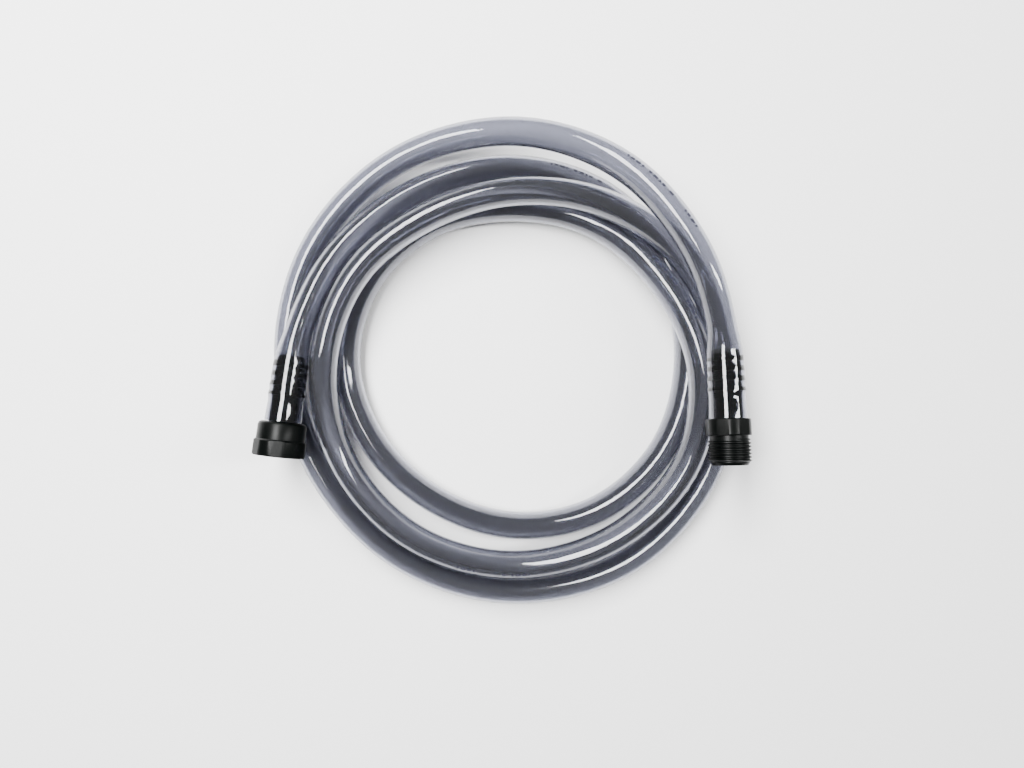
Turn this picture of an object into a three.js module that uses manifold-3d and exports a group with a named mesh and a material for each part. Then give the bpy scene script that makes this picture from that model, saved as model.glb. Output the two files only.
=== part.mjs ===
// Clear drain hose, loosely coiled, with a moulded barb fitting pushed into each end.
// Millimetres. +Z is up from the floor, -Y is where both fittings point.
import * as THREE from 'three';
import { mergeVertices } from 'three/addons/utils/BufferGeometryUtils.js';
import Module from 'manifold-3d';

const wasm = await Module();
wasm.setup();

// Hose: outside and wall as it is made, and how far the coiling bend presses it oval
const hoseOutside = 22.2;
const hoseWall = 1.6;
const hoseOvalGive = 3.2;
const cuffJoin = 0.6;
const cuffTaper = 5.5;
const hoseSides = 12;
const hoseSteps = 96;

// Barbs, alike on both fittings
const waterBore = 15.5;
const barbLength = 44.5;
const barbTipOutside = 18.4;
const barbRootOutside = 18.8;
const barbRidgeOutside = 21.4;
const ridgeCount = 4;
const ridgePitch = 6.4;
const ridgeFromTip = 7.2;
const ridgeStep = 0.7;
const tipBevel = 0.8;

// Male garden hose thread
const maleThreadOutside = 26.97;
const threadPitch = 2.209;
const threadDepth = 1.25;
const crestStarts = 0.4;
const crestEnds = 0.6;
const maleTurns = 7;
const maleRelief = 1.2;
const maleLeadIn = 2.2;
const maleLeadInDepth = 1.1;

// Grip collar on the male fitting, round with six shallow flats
const maleCollarAcross = 28.4;
const maleCollarLength = 10.6;
const maleFlatTurn = -30;

// Female fitting: a shoulder and a wider grip ring round the socket
const shoulderAcross = 32;
const shoulderLength = 12.6;
const shoulderBevel = 2.4;
const gripAcross = 34.4;
const gripLength = 10.6;
const femaleFlatTurn = 9;
const gripFlare = 1.4;
const rimRound = 1.2;
const socketThreadOutside = 27.4;
const socketDepth = 14;
const socketTurns = 4;
const socketMouth = 1.6;

const fittingSides = 24;
const collarSides = 48;
const flatCount = 6;
const flatWidth = 33;
const seatGap = 0.3;
const weldDistance = 1e-4;

// How the hose lies. The rows below are its middle line at each hour of a clock face seen from
// above, as [distance from the coil's middle, lift above lying on the floor]. It runs clockwise.
const hourAngle = 30;
const coilMiddle = new THREE.Vector2(7.45, 2.5);
const firstTurn = [
  [141.5, 14], [137, 3], [136.5, 0], [134.5, 0], [129, 0], [124.5, 0],
  [124, 0], [121.5, 0], [116.5, 0], [112.5, 0], [114, 0],
];
const secondTurn = [
  [117.5, 0], [116.5, 0], [112.5, 0], [108.5, 0], [112.5, 2], [115.5, 19.2],
  [127.3, 27.2], [138.5, 22], [141, 16], [141.5, 12], [140, 13], [135, 17.5],
];
const thirdTurn = [
  [127.4, 25.8], [121, 26.3], [113, 26.3], [114.5, 26], [123.5, 26.3], [136, 27],
  [147.5, 11.5], [158.5, 1.2], [163.5, 0.2], [162, 0], [159, 0], [156, 0],
];
const lastTurn = [
  [158.5, 0], [161.5, 0.4], [161.5, 6], [156.5, 22], [146, 47], [138, 55],
];
const firstHour = 10;

// Where the hose meets each collar: place, lift of the fitting's axis, lean from -Y in degrees, and
// how far its open end rises
const femaleEnd = { x: -153.7, y: -41, lift: 28.5, lean: 6.4, rise: 6 };
const maleEnd = { x: 138.2, y: -37, lift: 53.5, lean: -1.2, rise: 6 };

const hoseAcross = hoseOutside - hoseOvalGive;
const hoseTall = hoseOutside + hoseOvalGive;
const degree = Math.PI / 180;

function point(radius, along) {
  return new THREE.Vector2(radius, along);
}

// A turned solid about the Y axis from an outline that closes on itself
function turned(outline, sides, start = 0) {
  const closed = [...outline, outline[0].clone()];
  return new THREE.LatheGeometry(closed, sides, start);
}

function asSolid(geometry) {
  const bare = geometry.clone();
  bare.deleteAttribute('normal');
  bare.deleteAttribute('uv');
  const merged = mergeVertices(bare, weldDistance);
  const mesh = new wasm.Mesh({
    numProp: 3,
    vertProperties: new Float32Array(merged.attributes.position.array),
    triVerts: new Uint32Array(merged.index.array),
  });
  return new wasm.Manifold(mesh);
}

function asGeometry(solid) {
  const mesh = solid.getMesh();
  const geometry = new THREE.BufferGeometry();
  geometry.setAttribute('position', new THREE.BufferAttribute(new Float32Array(mesh.vertProperties), 3));
  geometry.setIndex(new THREE.BufferAttribute(new Uint32Array(mesh.triVerts), 1));
  geometry.computeVertexNormals();
  return geometry;
}

// The fittings' axis is Y: the barb points to +Y, and the collar's shoulder, where the hose stops, is at 0

function barbOutline() {
  const tip = barbTipOutside / 2;
  const root = barbRootOutside / 2;
  const ridge = barbRidgeOutside / 2;
  const outline = [point(root, 0)];
  for (let i = ridgeCount - 1; i >= 0; i -= 1) {
    const edge = barbLength - ridgeFromTip - i * ridgePitch;
    outline.push(point(root, edge - ridgeStep));
    outline.push(point(ridge, edge));
    outline.push(point(i > 0 ? root : tip, edge + ridgePitch - (i > 0 ? ridgeStep : tipBevel)));
  }
  outline.pop();
  outline.push(point(tip, barbLength - tipBevel));
  outline.push(point(tip - tipBevel, barbLength));
  outline.push(point(waterBore / 2, barbLength));
  return outline;
}

// Cuts six flats on a round collar: a six-sided prism that leaves each flat its width in degrees
function flatted(round, across, length, turn) {
  const cornerOut = (across / 2) * Math.cos((flatWidth / 2) * degree) / Math.cos(Math.PI / flatCount);
  const prism = new THREE.CylinderGeometry(cornerOut, cornerOut, length, flatCount);
  prism.rotateY(Math.PI / flatCount + turn * degree);
  prism.translate(0, -length / 2, 0);
  return asSolid(round).intersect(asSolid(prism));
}

// Thread crests from `from` downwards: root to crest and back once for each turn
function threadOutline(from, turns, root, crest) {
  const outline = [];
  for (let i = 0; i < turns; i += 1) {
    const top = from - i * threadPitch;
    outline.push(point(root, top));
    outline.push(point(crest, top - crestStarts * threadPitch));
    outline.push(point(crest, top - crestEnds * threadPitch));
  }
  outline.push(point(root, from - turns * threadPitch));
  return outline;
}

function maleFitting() {
  const crest = maleThreadOutside / 2;
  const root = crest - threadDepth;
  const threadTop = -maleCollarLength - maleRelief;
  const threadEnd = threadTop - maleTurns * threadPitch;
  const end = threadEnd - maleLeadIn;
  const thread = threadOutline(threadTop, maleTurns, root, crest);
  const body = turned([
    point(waterBore / 2, end),
    point(root - maleLeadInDepth, end),
    ...thread.reverse(),
    point(root, 0),
    ...barbOutline(),
  ], fittingSides);
  const collar = turned([
    point(root - maleRelief, -maleCollarLength),
    point(maleCollarAcross / 2, -maleCollarLength),
    point(maleCollarAcross / 2, 0),
    point(root - maleRelief, 0),
  ], collarSides);
  return asSolid(body).add(flatted(collar, maleCollarAcross, maleCollarLength, maleFlatTurn));
}

function femaleFitting() {
  const end = -shoulderLength - gripLength;
  const seat = end + socketDepth;
  const crest = socketThreadOutside / 2;
  const minor = crest - threadDepth;
  const threadBottom = end + socketMouth;
  const socket = threadOutline(threadBottom + socketTurns * threadPitch, socketTurns, minor, crest);
  const body = turned([
    point(waterBore / 2, seat),
    point(minor, seat),
    ...socket,
    point(minor, end + socketMouth),
    point(crest, end),
    point(shoulderAcross / 2, end),
    point(shoulderAcross / 2, -shoulderBevel),
    point(shoulderAcross / 2 - shoulderBevel, 0),
    ...barbOutline(),
  ], collarSides);
  const grip = turned([
    point(crest + rimRound, end),
    point(gripAcross / 2 - rimRound, end),
    point(gripAcross / 2, end + rimRound),
    point(gripAcross / 2, -shoulderLength),
    point(shoulderAcross / 2 - rimRound, -shoulderLength + gripFlare),
    point(crest + rimRound, -shoulderLength + gripFlare),
  ], collarSides);
  const length = shoulderLength + gripLength;
  return asSolid(body).add(flatted(grip, gripAcross, length, femaleFlatTurn));
}

// Round end of the hose, stretched over the barb, about the same axis as the fitting. Past the barb it
// thickens inwards and outwards until it meets the oval hose all the way round.
function hoseCuff() {
  const fit = barbRidgeOutside / 2 + seatGap;
  const neck = barbLength - ridgeFromTip + ridgeStep;
  const joinIn = hoseAcross / 2 - cuffJoin;
  const joinOut = hoseTall / 2 - hoseWall + cuffJoin;
  return turned([
    point(fit, seatGap),
    point(fit + hoseWall, seatGap),
    point(fit + hoseWall, neck),
    point(joinOut, barbLength + cuffTaper),
    point(joinIn, barbLength + cuffTaper),
    point(joinIn, barbLength + hoseWall),
    point(fit, neck),
  ], fittingSides);
}

function oval(across, tall) {
  const points = [];
  for (let i = 0; i < hoseSides; i += 1) {
    const turn = (i * 2 * Math.PI) / hoseSides;
    points.push(point((tall / 2) * Math.cos(turn), (across / 2) * Math.sin(turn)));
  }
  return points;
}

function endFrame(end) {
  const frame = new THREE.Object3D();
  frame.position.set(end.x + coilMiddle.x, end.y + coilMiddle.y, hoseTall / 2 + end.lift);
  frame.rotation.set(-end.rise * degree, 0, -end.lean * degree, 'ZYX');
  frame.updateMatrixWorld(true);
  return frame;
}

function alongAxis(end, distance) {
  return endFrame(end).localToWorld(new THREE.Vector3(0, distance, 0));
}

function routePoints() {
  const start = barbLength + seatGap * 2;
  const straight = start + cuffTaper;
  const route = [alongAxis(femaleEnd, start), alongAxis(femaleEnd, straight)];
  [...firstTurn, ...secondTurn, ...thirdTurn, ...lastTurn].forEach(([radius, lift], i) => {
    const bearing = (firstHour + i) * hourAngle * degree;
    route.push(new THREE.Vector3(
      coilMiddle.x + radius * Math.sin(bearing),
      coilMiddle.y + radius * Math.cos(bearing),
      hoseTall / 2 + lift,
    ));
  });
  route.push(alongAxis(maleEnd, straight), alongAxis(maleEnd, start));
  return route;
}

function hoseSolid() {
  const section = new THREE.Shape(oval(hoseAcross, hoseTall));
  section.holes.push(new THREE.Path(oval(hoseAcross - 2 * hoseWall, hoseTall - 2 * hoseWall)));
  const tube = new THREE.ExtrudeGeometry(section, {
    steps: hoseSteps,
    bevelEnabled: false,
    extrudePath: new THREE.CatmullRomCurve3(routePoints()),
  });
  let hose = asSolid(tube);
  for (const end of [femaleEnd, maleEnd]) {
    const cuff = hoseCuff().applyMatrix4(endFrame(end).matrixWorld);
    hose = hose.add(asSolid(cuff));
  }
  return hose;
}

const clearVinyl = new THREE.MeshStandardMaterial({
  color: 0x9a9aa6, roughness: 0.12, metalness: 0, transparent: true, opacity: 0.55,
});
const blackNylon = new THREE.MeshStandardMaterial({ color: 0x0b0c0c, roughness: 0.35, metalness: 0 });

function named(name, solid, material) {
  const mesh = new THREE.Mesh(asGeometry(solid), material);
  mesh.name = name;
  return mesh;
}

const drainHose = new THREE.Group();
drainHose.add(named('hose', hoseSolid(), clearVinyl));

const female = named('female_thread_fitting', femaleFitting(), blackNylon);
female.applyMatrix4(endFrame(femaleEnd).matrixWorld);
drainHose.add(female);

const male = named('male_thread_fitting', maleFitting(), blackNylon.clone());
male.applyMatrix4(endFrame(maleEnd).matrixWorld);
drainHose.add(male);

export default drainHose;
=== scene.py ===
# %% [markdown]
# # A coiled clear drain hose
# The object is three metres of clear vinyl hose, loosely coiled on the floor, with a black nylon
# barb fitting pushed into each end. One fitting ends in a male hose thread, the other in a wide
# grip ring round a female thread. The imported solids settle every size and place, and the names
# below repeat their sizes. The first cell loads them and keeps their box.

# %% Load the solids
import math

import bmesh
import bpy
import numpy as np
from mathutils import Matrix, Vector


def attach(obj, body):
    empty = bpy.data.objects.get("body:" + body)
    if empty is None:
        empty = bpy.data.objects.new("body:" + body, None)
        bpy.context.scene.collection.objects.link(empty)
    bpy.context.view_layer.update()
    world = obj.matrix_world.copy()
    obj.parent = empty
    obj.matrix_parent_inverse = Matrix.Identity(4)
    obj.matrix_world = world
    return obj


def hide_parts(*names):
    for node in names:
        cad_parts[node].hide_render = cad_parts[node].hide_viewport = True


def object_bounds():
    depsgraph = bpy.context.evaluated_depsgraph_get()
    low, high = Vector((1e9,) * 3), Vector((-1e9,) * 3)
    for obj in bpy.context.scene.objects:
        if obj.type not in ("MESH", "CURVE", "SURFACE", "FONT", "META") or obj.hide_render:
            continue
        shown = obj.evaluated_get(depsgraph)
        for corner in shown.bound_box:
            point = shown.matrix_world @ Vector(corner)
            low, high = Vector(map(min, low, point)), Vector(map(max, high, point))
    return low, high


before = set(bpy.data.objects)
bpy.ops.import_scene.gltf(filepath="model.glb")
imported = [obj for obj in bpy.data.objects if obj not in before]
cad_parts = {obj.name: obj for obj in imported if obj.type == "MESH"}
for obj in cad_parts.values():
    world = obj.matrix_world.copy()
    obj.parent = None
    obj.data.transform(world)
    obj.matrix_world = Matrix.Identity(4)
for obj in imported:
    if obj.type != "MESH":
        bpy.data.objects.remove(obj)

cad_box = [list(corner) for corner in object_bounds()]
print("solids:", sorted(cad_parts), "box:", cad_box)

MM = 0.001

# %% [markdown]
# ## The camera
# The picture was taken from straight above with a wide view, close enough that the strands on
# top of the pile look bigger than those on the floor. A camera that looks straight down at the
# middle of the coil, with its frame shifted so that the middle sits a little above the
# picture's centre, gives the same picture.

# %% Camera
coil_middle = Vector((7.45, 2.5, 0)) * MM
camera_height = 578 * MM
image_width = 1024
focal_px = 800
middle_above_centre_px = 23

camera_data = bpy.data.cameras.new("overhead_camera")
camera_data.sensor_width = 36
camera_data.lens = camera_data.sensor_width * focal_px / image_width
camera_data.shift_y = -middle_above_centre_px / image_width
camera_data.clip_start = 0.01
camera = bpy.data.objects.new("overhead_camera", camera_data)
camera.location = coil_middle + Vector((0, 0, camera_height))
bpy.context.scene.collection.objects.link(camera)
bpy.context.scene.camera = camera
print("camera", tuple(round(v, 3) for v in camera.location), "lens", round(camera_data.lens, 2))

# %% [markdown]
# ## The route of the hose
# A loose coil can't be drawn as a plain spiral: each turn climbs over others and drops back to
# the floor. So the middle line is written as a clock face seen from above. Each row is one hour,
# with the distance from the coil's middle and the lift above lying on the floor, in millimetres.
# A loop turns the rows into points, and a centripetal Catmull-Rom curve runs through them,
# because it can't overshoot at close points.

# %% Rows of the coil
first_turn = [
    (141.5, 14), (137, 3), (136.5, 0), (134.5, 0), (129, 0), (124.5, 0),
    (124, 0), (121.5, 0), (116.5, 0), (112.5, 0), (114, 0),
]
second_turn = [
    (117.5, 0), (116.5, 0), (112.5, 0), (108.5, 0), (112.5, 2), (115.5, 19.2),
    (127.3, 27.2), (138.5, 22), (141, 16), (141.5, 12), (140, 13), (135, 17.5),
]
third_turn = [
    (127.4, 25.8), (121, 26.3), (113, 26.3), (114.5, 26), (123.5, 26.3), (136, 27),
    (147.5, 11.5), (158.5, 1.2), (163.5, 0.2), (162, 0), (159, 0), (156, 0),
]
last_turn = [
    (158.5, 0), (161.5, 0.4), (161.5, 6), (156.5, 22), (146, 47), (138, 55),
]
first_hour = 10
hour_angle = 30

hose_round = 22.2
hose_wall = 1.6
oval_give = 3.2
hose_across = hose_round - oval_give
hose_tall = hose_round + oval_give
barb_length = 44.5
seat_gap = 0.3
cuff_taper = 5.5

# Where the hose meets each collar: place, lift, lean from -Y in degrees, rise of the open end
female_end = dict(x=-153.7, y=-41, lift=28.5, lean=6.4, rise=6)
male_end = dict(x=138.2, y=-37, lift=53.5, lean=-1.2, rise=6)


def end_matrix(end):
    """Places a fitting that was made about +Y, with the hose's mouth at zero."""
    place = Vector((end["x"], end["y"], hose_tall / 2 + end["lift"])) * MM + coil_middle
    turn = Matrix.Rotation(math.radians(-end["lean"]), 4, "Z")
    tip = Matrix.Rotation(math.radians(-end["rise"]), 4, "X")
    return Matrix.Translation(place) @ turn @ tip


def along_axis(end, distance):
    return end_matrix(end) @ Vector((0, distance * MM, 0))


def route_points():
    start = barb_length + seat_gap * 2
    points = [along_axis(female_end, start), along_axis(female_end, start + cuff_taper)]
    for i, (radius, lift) in enumerate(first_turn + second_turn + third_turn + last_turn):
        bearing = math.radians((first_hour + i) * hour_angle)
        east, north = radius * math.sin(bearing), radius * math.cos(bearing)
        point = Vector((east, north, hose_tall / 2 + lift))
        points.append(point * MM + coil_middle)
    points += [along_axis(male_end, start + cuff_taper), along_axis(male_end, start)]
    return np.array([tuple(p) for p in points])


print("route points", len(route_points()))

# %% Smooth middle line
def centripetal(points, samples=24):
    """Catmull-Rom with centripetal spacing, mirrored at both ends."""
    padded = np.vstack([2 * points[0] - points[1], points, 2 * points[-1] - points[-2]])
    line = []
    for p0, p1, p2, p3 in zip(padded, padded[1:], padded[2:], padded[3:]):
        t0, t1, t2 = (np.linalg.norm(b - a) ** 0.5 for a, b in ((p0, p1), (p1, p2), (p2, p3)))
        start = ((p1 - p0) / t0 - (p2 - p0) / (t0 + t1) + (p2 - p1) / t1) * t1
        end = ((p2 - p1) / t1 - (p3 - p1) / (t1 + t2) + (p3 - p2) / t2) * t1
        for u in np.arange(samples) / samples:
            line.append(
                (2 * u**3 - 3 * u**2 + 1) * p1
                + (u**3 - 2 * u**2 + u) * start
                + (-2 * u**3 + 3 * u**2) * p2
                + (u**3 - u**2) * end
            )
    line.append(points[-1])
    return np.array(line)


def evenly(line, step):
    lengths = np.concatenate([[0], np.cumsum(np.linalg.norm(np.diff(line, axis=0), axis=1))])
    count = int(round(lengths[-1] / step))
    at = np.linspace(0, lengths[-1], count + 1)
    return np.column_stack([np.interp(at, lengths, line[:, k]) for k in range(3)]), at


def eased(line, reach):
    """A running average with soft ends, so that the highlights flow along the hose."""
    offsets = np.arange(-3 * reach, 3 * reach + 1)
    weights = np.exp(-0.5 * (offsets / reach) ** 2)
    weights /= weights.sum()
    before = line[0] + np.outer(np.arange(-3 * reach, 0), line[1] - line[0])
    after = line[-1] + np.outer(np.arange(1, 3 * reach + 1), line[-1] - line[-2])
    padded = np.vstack([before, line, after])
    return np.column_stack([np.convolve(padded[:, k], weights, "valid") for k in range(3)])


ring_step = 3 * MM
ease_reach = 4
straight_in = np.array([tuple(along_axis(female_end, d)) for d in (seat_gap, barb_length / 2)])
straight_out = np.array([tuple(along_axis(male_end, d)) for d in (barb_length / 2, seat_gap)])
whole_line = np.vstack([straight_in, centripetal(route_points()), straight_out])
middle_line, travelled = evenly(whole_line, ring_step)
middle_line = eased(middle_line, ease_reach)

# %% [markdown]
# ## Helpers for turned and swept shapes
# The two fittings are moulded round one axis, so an outline is turned about it. A moulded collar
# with grip flats is the same turning, with the radius held back to a flat plane over part of
# each sixth. Sharp edges get a small bevel, because only a rounded edge catches the light.

# %% Turning an outline
flat_count = 6
flat_width = 33


def turning_angles(flat_turn, flat_steps=6, round_steps=5):
    """Angles round the axis, with one exactly at each edge of every flat."""
    angles = []
    sixth = 360 / flat_count
    for k in range(flat_count):
        start = flat_turn + k * sixth - flat_width / 2
        angles += [start + flat_width * i / flat_steps for i in range(flat_steps)]
        rest = sixth - flat_width
        angles += [start + flat_width + rest * i / round_steps for i in range(round_steps)]
    return [math.radians(a) for a in angles]


def held_flat(radius, angle, flat_turn, limit):
    """The radius after the flats are cut: limit is the distance from the axis to a flat."""
    sixth = 2 * math.pi / flat_count
    off = (angle - math.radians(flat_turn) + sixth / 2) % sixth - sixth / 2
    return min(radius, limit / math.cos(off))


def mesh_object(name, points, faces, smooth_under=35):
    mesh = bpy.data.meshes.new(name)
    mesh.from_pydata([tuple(p) for p in points], [], faces)
    mesh.validate()
    mesh.shade_smooth()
    mesh.set_sharp_from_angle(angle=math.radians(smooth_under))
    thing = bpy.data.objects.new(name, mesh)
    bpy.context.scene.collection.objects.link(thing)
    return thing


def turned(name, outline, flat_turn=0):
    """Turns a closed outline of (radius, along, flat limit or None) about Y, in millimetres."""
    angles = turning_angles(flat_turn)
    points = []
    for radius, along, limit in outline:
        for angle in angles:
            r = radius if limit is None else held_flat(radius, angle, flat_turn, limit)
            points.append(Vector((r * math.sin(angle), along, r * math.cos(angle))) * MM)
    sides = len(angles)
    faces = []
    for i in range(len(outline)):
        j = (i + 1) % len(outline)
        for k in range(sides):
            n = (k + 1) % sides
            faces.append((i * sides + k, i * sides + n, j * sides + n, j * sides + k))
    return mesh_object(name, points, faces)


def soften_edges(thing, width, angle=30, segments=2):
    bevel = thing.modifiers.new("softened_edges", "BEVEL")
    bevel.width = width * MM
    bevel.segments = segments
    bevel.limit_method = "ANGLE"
    bevel.angle_limit = math.radians(angle)
    bevel.harden_normals = True


# %% Cutting a thread
thread_pitch = 2.209
thread_depth = 1.25
root_half = 0.47
crest_half = 0.12
thread_sunk = 0.15


def thread_ridge(name, root, crest, top, turns, steps=66):
    """A helical ridge about Y, from `top` downwards. Each end fades out over a quarter turn."""
    section = [(-root_half, 0), (-crest_half, 1), (crest_half, 1), (root_half, 0)]
    sunk = root - thread_sunk * math.copysign(1, crest - root)
    points = []
    count = int(turns * steps)
    for i in range(count + 1):
        angle = 2 * math.pi * i / steps
        fade = min(1, i / (steps / 4), (count - i) / (steps / 4))
        for across, high in section:
            radius = sunk + (crest - sunk) * high * fade if high else sunk
            along = top - thread_pitch * (i / steps) + across * thread_pitch
            points.append(Vector((radius * math.sin(angle), along, radius * math.cos(angle))) * MM)
    wide = len(section)
    faces = []
    for i in range(count):
        for k in range(wide):
            n = (k + 1) % wide
            faces.append((i * wide + k, (i + 1) * wide + k, (i + 1) * wide + n, i * wide + n))
    faces.append(tuple(range(wide)))
    faces.append(tuple(count * wide + k for k in reversed(range(wide))))
    return mesh_object(name, points, faces, smooth_under=25)


def face_outwards(thing):
    shell = bmesh.new()
    shell.from_mesh(thing.data)
    bmesh.ops.recalc_face_normals(shell, faces=shell.faces)
    shell.to_mesh(thing.data)
    shell.free()


# %% [markdown]
# ## The barbs
# Both fittings end in the same barb: four sawtooth ridges that let the hose slide on and bite
# when it is pulled back, then a plain neck up to the collar. The outline below is shared, with
# the steep side of each ridge facing the collar. Here each ridge stands a little way into the
# hose's wall, as the real ones do, so that no line of air parts them.

# %% Barb outline
water_bore = 15.5
barb_tip = 18.4
barb_root = 18.8
barb_ridge = 21.4
ridge_count = 4
ridge_pitch = 6.4
ridge_from_tip = 7.2
ridge_step = 0.7
ridge_bite = 0.2
ridge_edge_before = 0.3
ridge_edge_after = 0.1
ridge_foot = 0.2
tip_bevel = 0.8


def barb_outline():
    outline = [(barb_root / 2, 0, None)]
    for i in reversed(range(ridge_count)):
        edge = barb_length - ridge_from_tip - i * ridge_pitch
        outline.append((barb_root / 2, edge - ridge_step, None))
        outline.append((barb_ridge / 2 + ridge_bite, edge - ridge_edge_before, None))
        outline.append((barb_ridge / 2 + ridge_bite, edge + ridge_edge_after, None))
        if i:
            foot = edge + ridge_pitch - ridge_step - ridge_foot
            outline.append((barb_root / 2, foot, None))
    outline.append((barb_tip / 2, barb_length - tip_bevel, None))
    outline.append((barb_tip / 2 - tip_bevel, barb_length, None))
    outline.append((water_bore / 2, barb_length, None))
    return outline


# %% [markdown]
# ## The male fitting
# From the hose outwards it is barb, round collar with six shallow grip flats, and a straight
# hose thread with a chamfered start. The thread is modelled as a real helix on its root
# cylinder, so that its crests step across the silhouette as they should.

# %% Male fitting
male_thread = 26.97
male_collar = 28.4
male_collar_length = 10.6
male_relief = 1.2
male_turns = 7
male_lead = 2.2
lead_chamfer_share = 0.8
male_runout = 0.4
male_chamfer_along = 0.5
male_chamfer_outer = 0.3
male_chamfer_inner = 0.4
male_edge_width = 0.18
male_flat_turn = -30
male_crest = male_thread / 2
male_root = male_crest - thread_depth
male_last = male_collar_length + male_relief + male_turns * thread_pitch + male_lead
male_limit = male_collar / 2 * math.cos(math.radians(flat_width / 2))

male_outline = [
    (water_bore / 2, -male_last, None),
    (male_root - male_lead / 2, -male_last, None),
    (male_root, -male_last + male_lead * lead_chamfer_share, None),
    (male_root, -male_collar_length, None),
    (male_collar / 2 - male_chamfer_outer, -male_collar_length, male_limit),
    (male_collar / 2, -male_collar_length + male_chamfer_along, male_limit),
    (male_collar / 2, -male_chamfer_along, male_limit),
    (male_collar / 2 - male_chamfer_inner, 0, male_limit),
] + barb_outline()
male_fitting = turned("male_hose_fitting", male_outline, male_flat_turn)
face_outwards(male_fitting)
soften_edges(male_fitting, male_edge_width)
male_fitting.matrix_world = end_matrix(male_end)
male_helix = thread_ridge(
    "male_thread", male_root, male_crest,
    top=-male_collar_length - male_relief - 0.5 * thread_pitch,
    turns=male_turns - male_runout,
)
face_outwards(male_helix)
male_helix.matrix_world = end_matrix(male_end)
print("male fitting reaches", round(male_last, 1), "mm past the hose")

# %% [markdown]
# ## The female fitting
# It is one moulding too: a round shoulder, then a slightly wider grip ring with six flats round
# the threaded socket. The socket can't be seen from above, but it still gets its seat and its
# inside thread.

# %% Female fitting
shoulder = 32
shoulder_length = 12.6
shoulder_bevel = 2.4
grip = 34.4
grip_length = 10.6
grip_back_chamfer = 0.4
grip_slope = 0.7
rim_round = 1.2
corner_in = 0.3
corner_along = 0.4
female_flat_turn = 9
socket_thread = 27.4
socket_depth = 14
socket_turns = 4
socket_mouth = 1.6
mouth_chamfer = 0.6
female_edge_width = 0.2
female_last = shoulder_length + grip_length
socket_crest = socket_thread / 2
grip_limit = grip / 2 * math.cos(math.radians(flat_width / 2))

female_outline = [
    (water_bore / 2, -female_last + socket_depth, None),
    (socket_crest, -female_last + socket_depth, None),
    (socket_crest, -female_last + mouth_chamfer, None),
    (socket_crest + mouth_chamfer, -female_last, None),
    (grip / 2 - rim_round, -female_last, None),
    (grip / 2 - rim_round * corner_in, -female_last + rim_round * corner_in, grip_limit),
    (grip / 2, -female_last + rim_round, grip_limit),
    (grip / 2, -shoulder_length - grip_back_chamfer, grip_limit),
    (grip / 2 - grip_back_chamfer, -shoulder_length, grip_limit),
    (shoulder / 2, -shoulder_length + grip_slope, None),
    (shoulder / 2, -shoulder_bevel, None),
    (shoulder / 2 - shoulder_bevel * corner_in, -shoulder_bevel * corner_along, None),
    (shoulder / 2 - shoulder_bevel, 0, None),
] + barb_outline()
female_fitting = turned("female_hose_fitting", female_outline, female_flat_turn)
face_outwards(female_fitting)
soften_edges(female_fitting, female_edge_width)
female_fitting.matrix_world = end_matrix(female_end)
female_helix = thread_ridge(
    "female_thread", socket_crest, socket_crest - thread_depth,
    top=-female_last + socket_mouth + (socket_turns + 0.5) * thread_pitch,
    turns=socket_turns,
)
face_outwards(female_helix)
female_helix.matrix_world = end_matrix(female_end)
print("female fitting reaches", round(female_last, 1), "mm past the hose")

# %% [markdown]
# ## The hose
# The hose is a real tube with an outside and a bore, because light bends at both. Bending a
# thin-walled hose presses it oval, taller than it is wide, and each end is stretched round over
# its barb, where it sags a little between the ridges. So every ring of the sweep gets its own
# height and width from how far it is along.

# %% Sweep the hose
hose_sides = 44
cuff_gap = 0.1
ridge_reach = 1.25
sag_between = 0.6
sag_at_mouth = 0.15
neck_from = 3
neck_run = 9
release_run = 26


def ridge_bulge(from_mouth):
    """How the stretched hose rides over the ridges of the barb, in millimetres of radius."""
    over = (barb_ridge + cuff_gap) / 2 + hose_wall
    held = np.zeros_like(from_mouth)
    for i in range(ridge_count):
        ridge = barb_length - ridge_from_tip - i * ridge_pitch
        held = np.maximum(held, np.exp(-(((from_mouth - ridge) / ridge_reach) ** 2)))
    neck = np.clip((from_mouth - neck_from) / neck_run, 0, 1)
    return over - sag_between * (1 - held) * neck - sag_at_mouth * (1 - neck)


from_mouth = np.minimum(travelled, travelled[-1] - travelled) / MM
released = np.clip((from_mouth - (barb_length - ridge_from_tip)) / release_run, 0, 1)
released = released * released * (3 - 2 * released)
cuff_radius = ridge_bulge(from_mouth)
half_across = cuff_radius * (1 - released) + hose_across / 2 * released
half_tall = cuff_radius * (1 - released) + hose_tall / 2 * released


def sweep_rings(line, across, tall, sides):
    """Rings round a line: across is level, tall is as upright as the line allows."""
    forward = np.gradient(line, axis=0)
    forward /= np.linalg.norm(forward, axis=1)[:, None]
    up = np.array([0, 0, 1.0]) - forward * forward[:, 2:3]
    up /= np.linalg.norm(up, axis=1)[:, None]
    side = np.cross(forward, up)
    angle = np.linspace(0, 2 * math.pi, sides, endpoint=False)
    return (
        line[:, None, :]
        + side[:, None, :] * (across[:, None] * np.sin(angle))[:, :, None] * MM
        + up[:, None, :] * (tall[:, None] * np.cos(angle))[:, :, None] * MM
    )


outside = sweep_rings(middle_line, half_across, half_tall, hose_sides)
bore = sweep_rings(middle_line, half_across - hose_wall, half_tall - hose_wall, hose_sides)
ring_count = len(middle_line)


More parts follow.
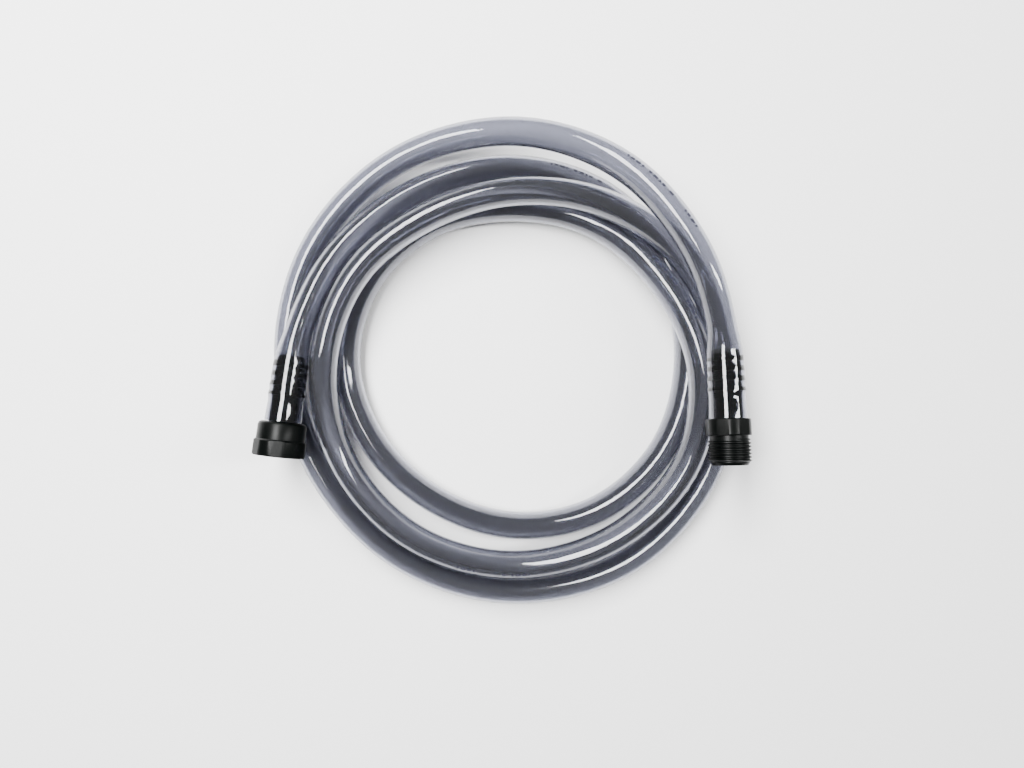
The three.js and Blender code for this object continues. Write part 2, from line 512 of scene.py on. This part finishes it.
def hose_faces():
    faces = []
    inner = ring_count * hose_sides
    for i in range(ring_count - 1):
        for k in range(hose_sides):
            n = (k + 1) % hose_sides
            a, b = i * hose_sides + k, i * hose_sides + n
            faces.append((a, b, b + hose_sides, a + hose_sides))
            faces.append((inner + b, inner + a, inner + a + hose_sides, inner + b + hose_sides))
    for i, flip in ((0, False), (ring_count - 1, True)):
        for k in range(hose_sides):
            a, b = i * hose_sides + k, i * hose_sides + (k + 1) % hose_sides
            face = (a, inner + a, inner + b, b)
            faces.append(face[::-1] if flip else face)
    return faces


hose_points = np.vstack([outside.reshape(-1, 3), bore.reshape(-1, 3)])
hose = mesh_object("clear_hose", hose_points, hose_faces(), smooth_under=60)
face_outwards(hose)
print("hose faces", len(hose.data.polygons))

# %% [markdown]
# ## Worn print
# Small groups of dark marks run along the outer shoulder of the hose, where its print has worn to
# short dashes. Each dash is a thin curved patch, lifted a little off the vinyl, because patches
# that lay closer came out blurred. A run is given by where it starts and ends, in degrees round
# the coil, counted on past 360 from turn to turn.

# %% Print marks
mark_height = 2.3
mark_length = 2.4
mark_gap = 1.3
mark_lift = 0.4
mark_angle = -25
mark_runs = [
    (371, 387), (775, 786), (792, 798), (895, 903), (910, 916), (1470, 1485), (1489, 1495),
]
shortest_share = 0.6
share_step = 0.4
share_count = 3
dashes_to_a_group = 4
group_gap = 3

from_middle = middle_line - np.array(tuple(coil_middle))
swung = np.unwrap(np.arctan2(from_middle[:, 0], from_middle[:, 1]))
bearings = np.degrees(swung - swung[0]) + math.degrees(swung[0]) % 360
skin = mark_lift + half_across, mark_lift + half_tall
half_turn = mark_height / hose_round


def skin_point(distance, angle):
    """A point just above the hose, at a distance along it and an angle round it."""
    here, ahead = (
        np.array([np.interp(d, travelled, middle_line[:, k]) for k in range(3)])
        for d in (distance, distance + MM)
    )
    across, tall = (np.interp(distance, travelled, s) for s in skin)
    forward = (ahead - here) / np.linalg.norm(ahead - here)
    up = np.array([0, 0, 1.0]) - forward * forward[2]
    up /= np.linalg.norm(up)
    side = np.cross(forward, up)
    return here + (side * across * math.sin(angle) + up * tall * math.cos(angle)) * MM


mark_points, mark_faces = [], []
for low, high in mark_runs:
    at, end = (np.interp(b, bearings, travelled) for b in (low, high))
    dash = 0
    while at < end:
        length = mark_length * (shortest_share + share_step * (dash % share_count)) * MM
        first = len(mark_points)
        for along in (at, at + length / 2, at + length):
            for turn in (-1, 0, 1):
                angle = math.radians(mark_angle) + turn * half_turn
                mark_points.append(skin_point(along, angle))
        for i in range(2):
            for k in range(2):
                a = first + i * 3 + k
                mark_faces.append((a, a + 1, a + 4, a + 3))
        dash += 1
        at += length + mark_gap * MM * (1 if dash % dashes_to_a_group else group_gap)
print_marks = mesh_object("print_marks", mark_points, mark_faces)
print("print marks", len(mark_faces) // 4)

# %% [markdown]
# ## Clear vinyl
# The vinyl is clear with a grey-violet cast. A Principled shader with nearly full transmission
# and vinyl's index bends light through both walls, and the wall takes some light away over its
# depth, so that the rims and the crossings come out darker. Its roughness is low, in soft
# patches, with a faint grain that breaks up the highlights.

# %% Node helpers
def new_material(name):
    material = bpy.data.materials.new(name)
    material.use_nodes = True
    nodes, links = material.node_tree.nodes, material.node_tree.links
    return material, nodes, links, nodes["Principled BSDF"]


def node(nodes, kind, **sockets):
    made = nodes.new(kind)
    for key, value in sockets.items():
        made.inputs[key.replace("_", " ")].default_value = value
    return made


def fine_grain_group():
    """A shared effect: fine moulding grain as a height, and larger cloudy patches as a mask."""
    group = bpy.data.node_groups.new("moulding_grain", "ShaderNodeTree")
    face = group.interface
    for name, value in (("Grain Scale", 900.0), ("Patch Scale", 45.0)):
        socket = face.new_socket(name=name, in_out="INPUT", socket_type="NodeSocketFloat")
        socket.default_value = value
    for name in ("Height", "Patches"):
        face.new_socket(name=name, in_out="OUTPUT", socket_type="NodeSocketFloat")
    nodes, links = group.nodes, group.links
    given = nodes.new("NodeGroupInput")
    result = nodes.new("NodeGroupOutput")
    place = nodes.new("ShaderNodeTexCoord")
    grain = node(nodes, "ShaderNodeTexNoise", Detail=3.0, Roughness=0.6)
    patches = node(nodes, "ShaderNodeTexNoise", Detail=2.0, Roughness=0.5)
    links.new(place.outputs["Object"], grain.inputs["Vector"])
    links.new(place.outputs["Object"], patches.inputs["Vector"])
    links.new(given.outputs["Grain Scale"], grain.inputs["Scale"])
    links.new(given.outputs["Patch Scale"], patches.inputs["Scale"])
    links.new(grain.outputs["Fac"], result.inputs["Height"])
    links.new(patches.outputs["Fac"], result.inputs["Patches"])
    return group


moulding_grain = fine_grain_group()
noise_low, noise_high = 0.3, 0.7


def spread(nodes, links, source, low, high):
    """Maps a noise, from the middle range that it mostly keeps to, onto low to high."""
    mapped = nodes.new("ShaderNodeMapRange")
    mapped.inputs["From Min"].default_value = noise_low
    mapped.inputs["From Max"].default_value = noise_high
    mapped.inputs["To Min"].default_value = low
    mapped.inputs["To Max"].default_value = high
    links.new(source, mapped.inputs["Value"])
    return mapped.outputs["Result"]


print("grain group", [s.name for s in moulding_grain.interface.items_tree])

# %% Clear vinyl material
def clear_vinyl(name, clearness):
    """Vinyl for the hose. Clearness is how much light passes straight through."""
    material, nodes, links, shader = new_material(name)
    shader.inputs["Base Color"].default_value = (0.47, 0.475, 0.525, 1)
    shader.inputs["Transmission Weight"].default_value = clearness
    shader.inputs["IOR"].default_value = 1.53
    grain = nodes.new("ShaderNodeGroup")
    grain.node_tree = moulding_grain
    grain.inputs["Grain Scale"].default_value = 260.0
    grain.inputs["Patch Scale"].default_value = 18.0
    gloss = spread(nodes, links, grain.outputs["Patches"], 0.03, 0.09)
    links.new(gloss, shader.inputs["Roughness"])
    bump = node(nodes, "ShaderNodeBump", Strength=0.06, Distance=0.0004)
    links.new(grain.outputs["Height"], bump.inputs["Height"])
    links.new(bump.outputs["Normal"], shader.inputs["Normal"])
    depth = nodes.new("ShaderNodeVolumeAbsorption")
    depth.inputs["Color"].default_value = (0.44, 0.46, 0.54, 1)
    depth.inputs["Density"].default_value = 230
    links.new(depth.outputs["Volume"], nodes["Material Output"].inputs["Volume"])
    return material


# Handling has clouded the free hose a little; where it is stretched over a barb it is clear
hose.data.materials.append(clear_vinyl("clear_vinyl", 0.975))
hose.data.materials.append(clear_vinyl("stretched_vinyl", 1.0))
over_barb = from_mouth < barb_length
for face in hose.data.polygons:
    ring = face.vertices[0] // hose_sides % ring_count
    face.material_index = int(over_barb[ring])
print("faces over the barbs", sum(face.material_index for face in hose.data.polygons))

# %% [markdown]
# ## Black nylon
# The colour is almost black, so nearly all of its look is in the highlights. They are weak and
# soft, a little duller in the patches where hands and taps have rubbed it.

# %% Black nylon material
nylon, nodes, links, shader = new_material("black_nylon")
grain = nodes.new("ShaderNodeGroup")
grain.node_tree = moulding_grain
grain.inputs["Grain Scale"].default_value = 700.0
grain.inputs["Patch Scale"].default_value = 60.0
tone = nodes.new("ShaderNodeValToRGB")
tone.color_ramp.elements[0].color = (0.0003, 0.0006, 0.0005, 1)
tone.color_ramp.elements[1].color = (0.001, 0.0016, 0.0014, 1)
links.new(grain.outputs["Patches"], tone.inputs["Fac"])
links.new(tone.outputs["Color"], shader.inputs["Base Color"])
links.new(spread(nodes, links, grain.outputs["Patches"], 0.3, 0.42), shader.inputs["Roughness"])
shader.inputs["Specular IOR Level"].default_value = 0.1
bump = node(nodes, "ShaderNodeBump", Strength=0.1, Distance=0.0003)
links.new(grain.outputs["Height"], bump.inputs["Height"])
links.new(bump.outputs["Normal"], shader.inputs["Normal"])
for piece in (male_fitting, male_helix, female_fitting, female_helix):
    piece.data.materials.append(nylon)

# %% [markdown]
# ## Print ink
# The ink is a matt blue-black, thinner and paler in places where it has worn.

# %% Print ink material
ink, nodes, links, shader = new_material("print_ink")
wear = nodes.new("ShaderNodeGroup")
wear.node_tree = moulding_grain
tone = nodes.new("ShaderNodeValToRGB")
tone.color_ramp.elements[0].color = (0.008, 0.009, 0.02, 1)
tone.color_ramp.elements[1].color = (0.03, 0.03, 0.05, 1)
links.new(wear.outputs["Height"], tone.inputs["Fac"])
links.new(tone.outputs["Color"], shader.inputs["Base Color"])
shader.inputs["Roughness"].default_value = 0.5
print_marks.data.materials.append(ink)

# %% [markdown]
# ## Floor and light
# The floor is plain and pale. Two long soft panels light the coil, one overhead and a thinner one
# off to the right, because a long panel draws a long streak along each strand.

# %% Floor and lights
floor_half = 3
floor_gap = 0.3 * MM
world_strength = 0.3

floor_mesh = bpy.data.meshes.new("pale_floor")
corners = [(x * floor_half, y * floor_half, 0) for x, y in ((-1, -1), (1, -1), (1, 1), (-1, 1))]
floor_mesh.from_pydata(corners, [], [(0, 1, 2, 3)])
floor = bpy.data.objects.new("pale_floor", floor_mesh)
floor.location.z = cad_box[0][2] - floor_gap
bpy.context.scene.collection.objects.link(floor)
paper, nodes, links, shader = new_material("pale_paper")
shader.inputs["Base Color"].default_value = (0.95, 0.95, 0.95, 1)
shader.inputs["Roughness"].default_value = 0.9
floor_mesh.materials.append(paper)


def soft_light(name, place, aim, size, power):
    data = bpy.data.lights.new(name, "AREA")
    data.shape = "RECTANGLE"
    data.size, data.size_y = size
    data.energy = power
    light = bpy.data.objects.new(name, data)
    light.location = place
    light.rotation_euler = (Vector(aim) - Vector(place)).to_track_quat("-Z", "Y").to_euler()
    bpy.context.scene.collection.objects.link(light)
    print(name, "at", place, "power", power)


soft_light(
    "long_panel", place=(-0.36, 0.5, 1.2), aim=(-0.36, 0.5, 0), size=(0.45, 1.2), power=80
)
soft_light("far_panel", place=(1.9, 0.3, 1.9), aim=(0, 0, 0), size=(0.25, 1.4), power=60)

world = bpy.data.worlds.new("studio")
world.use_nodes = True
sky = world.node_tree.nodes["Background"]
sky.inputs["Color"].default_value = (1, 1, 1, 1)
sky.inputs["Strength"].default_value = world_strength
bpy.context.scene.world = world

# %% [markdown]
# ## Hand the pieces to the frame
# Each piece rides on the part's one body and stands for its solid.

# %% Ride and replace
for piece in (hose, print_marks, male_fitting, male_helix, female_fitting, female_helix):
    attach(piece, "root")
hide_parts("hose")
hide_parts("hose")
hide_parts("male_thread_fitting")
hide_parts("male_thread_fitting")
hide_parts("female_thread_fitting")
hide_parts("female_thread_fitting")
